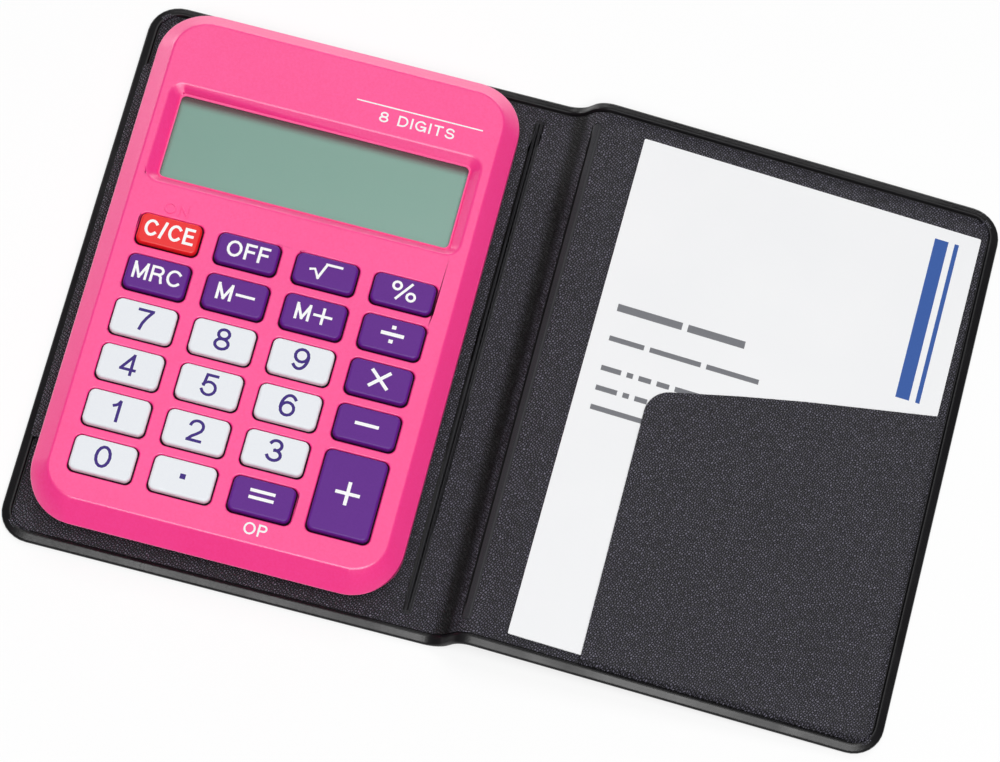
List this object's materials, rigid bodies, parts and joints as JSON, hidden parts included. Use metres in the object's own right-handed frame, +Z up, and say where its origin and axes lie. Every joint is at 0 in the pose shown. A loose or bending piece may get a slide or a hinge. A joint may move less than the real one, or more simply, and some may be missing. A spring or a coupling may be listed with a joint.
{
  "type": "pocket calculator in wallet",
  "caption": "Pocket calculator with spring-returned keys, fixed in one half of a folding vinyl wallet whose other half holds a card in a pocket.",
  "frame": {"origin": "under the middle of the calculator, on the underside of the wallet half that carries it, which is the surface the wallet lies on", "axes": "+X from the calculator across the folds to the cover, +Y from the keys to the display, +Z up"},
  "size_m": [0.1377, 0.093, 0.0114],
  "materials": {
    "case_plastic": "pink ABS, fine satin",
    "clear_window": "clear acrylic",
    "lcd_glass": "grey-green unlit liquid crystal display",
    "reflector_foil": "dull foil",
    "zebra_rubber": "striped rubber",
    "board_laminate": "printed circuit laminate",
    "chip_resin": "black epoxy",
    "mat_silicone": "translucent silicone",
    "cell_steel": "nickel plated",
    "contact_metal": "nickel plated spring strip",
    "screw_steel": "zinc plated",
    "pad_tape": "double-sided tape",
    "outer_vinyl": "black grained soft vinyl",
    "inner_vinyl": "black grained soft vinyl",
    "grey_board": "stiff grey board",
    "card_stock": "smooth white card",
    "red_key_plastic": "satin red",
    "purple_key_plastic": "satin purple",
    "white_key_plastic": "satin white"
  },
  "bodies": {
    "base": {"lower_case": "case_plastic", "upper_case": "case_plastic", "display_window": "clear_window", "lcd_panel": "lcd_glass", "lcd_reflector": "reflector_foil", "zebra_connector": "zebra_rubber", "circuit_board": "board_laminate", "chip_cap": "chip_resin", "key_mat": "mat_silicone", "battery_cell": "cell_steel", "battery_contact_negative": "contact_metal", "battery_contact_positive": "contact_metal", "case_screws": "screw_steel", "board_screws": "screw_steel", "adhesive_pad": "pad_tape", "base_outer_skin": "outer_vinyl", "base_board": "grey_board", "base_inner_skin": "inner_vinyl", "base_flap": "inner_vinyl"},
    "spine_flat": {"spine_flat_outer_skin": "outer_vinyl", "spine_flat_inner_skin": "inner_vinyl"},
    "spine_ridge": {"spine_ridge_outer_skin": "outer_vinyl", "spine_ridge_inner_skin": "inner_vinyl"},
    "cover": {"cover_outer_skin": "outer_vinyl", "cover_board": "grey_board", "cover_inner_skin": "inner_vinyl", "card_pocket": "inner_vinyl"},
    "card": {"insert_card": "card_stock"},
    "key_clear": {"key_clear": "red_key_plastic"},
    "key_off": {"key_off": "purple_key_plastic"},
    "key_root": {"key_root": "purple_key_plastic"},
    "key_percent": {"key_percent": "purple_key_plastic"},
    "key_memory_recall": {"key_memory_recall": "purple_key_plastic"},
    "key_memory_minus": {"key_memory_minus": "purple_key_plastic"},
    "key_memory_plus": {"key_memory_plus": "purple_key_plastic"},
    "key_divide": {"key_divide": "purple_key_plastic"},
    "key_multiply": {"key_multiply": "purple_key_plastic"},
    "key_minus": {"key_minus": "purple_key_plastic"},
    "key_plus": {"key_plus": "purple_key_plastic"},
    "key_equals": {"key_equals": "purple_key_plastic"},
    "key_7": {"key_7": "white_key_plastic"},
    "key_8": {"key_8": "white_key_plastic"},
    "key_9": {"key_9": "white_key_plastic"},
    "key_4": {"key_4": "white_key_plastic"},
    "key_5": {"key_5": "white_key_plastic"},
    "key_6": {"key_6": "white_key_plastic"},
    "key_1": {"key_1": "white_key_plastic"},
    "key_2": {"key_2": "white_key_plastic"},
    "key_3": {"key_3": "white_key_plastic"},
    "key_0": {"key_0": "white_key_plastic"},
    "key_point": {"key_point": "white_key_plastic"}
  },
  "joints": [
    {"name": "cover_fold", "type": "hinge", "parent": "spine_ridge", "child": "cover", "pos_m": [0.04029, 0.0004, 0.00571], "axis": [0, -1, 0], "range_deg": [0, 148.7]},
    {"name": "spine_fold", "type": "hinge", "parent": "base", "child": "spine_flat", "pos_m": [0.0312, 0.0004, 0.0008], "axis": [0, -1, 0], "range_deg": [0, 90]},
    {"name": "spine_flex", "type": "hinge", "parent": "spine_flat", "child": "spine_ridge", "pos_m": [0.0371, 0.0004, 0.0008], "axis": [0, -1, 0], "range_deg": [-57, 0]},
    {"name": "card_slide", "type": "slide", "parent": "cover", "child": "card", "axis": [0, 1, 0], "range_m": [0, 0.045]},
    {"name": "key_clear_press", "type": "slide", "parent": "base", "child": "key_clear", "axis": [0, 0, -1], "range_m": [0, 0.0007], "stiffness_N_per_m": 500, "springref_m": -0.0004, "deforming": ["key_mat"]},
    {"name": "key_off_press", "type": "slide", "parent": "base", "child": "key_off", "axis": [0, 0, -1], "range_m": [0, 0.0007], "stiffness_N_per_m": 500, "springref_m": -0.0004, "deforming": ["key_mat"]},
    {"name": "key_root_press", "type": "slide", "parent": "base", "child": "key_root", "axis": [0, 0, -1], "range_m": [0, 0.0007], "stiffness_N_per_m": 500, "springref_m": -0.0004, "deforming": ["key_mat"]},
    {"name": "key_percent_press", "type": "slide", "parent": "base", "child": "key_percent", "axis": [0, 0, -1], "range_m": [0, 0.0007], "stiffness_N_per_m": 500, "springref_m": -0.0004, "deforming": ["key_mat"]},
    {"name": "key_memory_recall_press", "type": "slide", "parent": "base", "child": "key_memory_recall", "axis": [0, 0, -1], "range_m": [0, 0.0007], "stiffness_N_per_m": 500, "springref_m": -0.0004, "deforming": ["key_mat"]},
    {"name": "key_memory_minus_press", "type": "slide", "parent": "base", "child": "key_memory_minus", "axis": [0, 0, -1], "range_m": [0, 0.0007], "stiffness_N_per_m": 500, "springref_m": -0.0004, "deforming": ["key_mat"]},
    {"name": "key_memory_plus_press", "type": "slide", "parent": "base", "child": "key_memory_plus", "axis": [0, 0, -1], "range_m": [0, 0.0007], "stiffness_N_per_m": 500, "springref_m": -0.0004, "deforming": ["key_mat"]},
    {"name": "key_divide_press", "type": "slide", "parent": "base", "child": "key_divide", "axis": [0, 0, -1], "range_m": [0, 0.0007], "stiffness_N_per_m": 500, "springref_m": -0.0004, "deforming": ["key_mat"]},
    {"name": "key_multiply_press", "type": "slide", "parent": "base", "child": "key_multiply", "axis": [0, 0, -1], "range_m": [0, 0.0007], "stiffness_N_per_m": 500, "springref_m": -0.0004, "deforming": ["key_mat"]},
    {"name": "key_minus_press", "type": "slide", "parent": "base", "child": "key_minus", "axis": [0, 0, -1], "range_m": [0, 0.0007], "stiffness_N_per_m": 500, "springref_m": -0.0004, "deforming": ["key_mat"]},
    {"name": "key_plus_press", "type": "slide", "parent": "base", "child": "key_plus", "axis": [0, 0, -1], "range_m": [0, 0.0007], "stiffness_N_per_m": 500, "springref_m": -0.0004, "deforming": ["key_mat"]},
    {"name": "key_equals_press", "type": "slide", "parent": "base", "child": "key_equals", "axis": [0, 0, -1], "range_m": [0, 0.0007], "stiffness_N_per_m": 500, "springref_m": -0.0004, "deforming": ["key_mat"]},
    {"name": "key_7_press", "type": "slide", "parent": "base", "child": "key_7", "axis": [0, 0, -1], "range_m": [0, 0.0007], "stiffness_N_per_m": 500, "springref_m": -0.0004, "deforming": ["key_mat"]},
    {"name": "key_8_press", "type": "slide", "parent": "base", "child": "key_8", "axis": [0, 0, -1], "range_m": [0, 0.0007], "stiffness_N_per_m": 500, "springref_m": -0.0004, "deforming": ["key_mat"]},
    {"name": "key_9_press", "type": "slide", "parent": "base", "child": "key_9", "axis": [0, 0, -1], "range_m": [0, 0.0007], "stiffness_N_per_m": 500, "springref_m": -0.0004, "deforming": ["key_mat"]},
    {"name": "key_4_press", "type": "slide", "parent": "base", "child": "key_4", "axis": [0, 0, -1], "range_m": [0, 0.0007], "stiffness_N_per_m": 500, "springref_m": -0.0004, "deforming": ["key_mat"]},
    {"name": "key_5_press", "type": "slide", "parent": "base", "child": "key_5", "axis": [0, 0, -1], "range_m": [0, 0.0007], "stiffness_N_per_m": 500, "springref_m": -0.0004, "deforming": ["key_mat"]},
    {"name": "key_6_press", "type": "slide", "parent": "base", "child": "key_6", "axis": [0, 0, -1], "range_m": [0, 0.0007], "stiffness_N_per_m": 500, "springref_m": -0.0004, "deforming": ["key_mat"]},
    {"name": "key_1_press", "type": "slide", "parent": "base", "child": "key_1", "axis": [0, 0, -1], "range_m": [0, 0.0007], "stiffness_N_per_m": 500, "springref_m": -0.0004, "deforming": ["key_mat"]},
    {"name": "key_2_press", "type": "slide", "parent": "base", "child": "key_2", "axis": [0, 0, -1], "range_m": [0, 0.0007], "stiffness_N_per_m": 500, "springref_m": -0.0004, "deforming": ["key_mat"]},
    {"name": "key_3_press", "type": "slide", "parent": "base", "child": "key_3", "axis": [0, 0, -1], "range_m": [0, 0.0007], "stiffness_N_per_m": 500, "springref_m": -0.0004, "deforming": ["key_mat"]},
    {"name": "key_0_press", "type": "slide", "parent": "base", "child": "key_0", "axis": [0, 0, -1], "range_m": [0, 0.0007], "stiffness_N_per_m": 500, "springref_m": -0.0004, "deforming": ["key_mat"]},
    {"name": "key_point_press", "type": "slide", "parent": "base", "child": "key_point", "axis": [0, 0, -1], "range_m": [0, 0.0007], "stiffness_N_per_m": 500, "springref_m": -0.0004, "deforming": ["key_mat"]}
  ],
  "couplings": [
    {"joint": "spine_fold", "follows": "cover_fold", "ratio": 0.605},
    {"joint": "spine_flex", "follows": "cover_fold", "ratio": -0.3833}
  ]
}
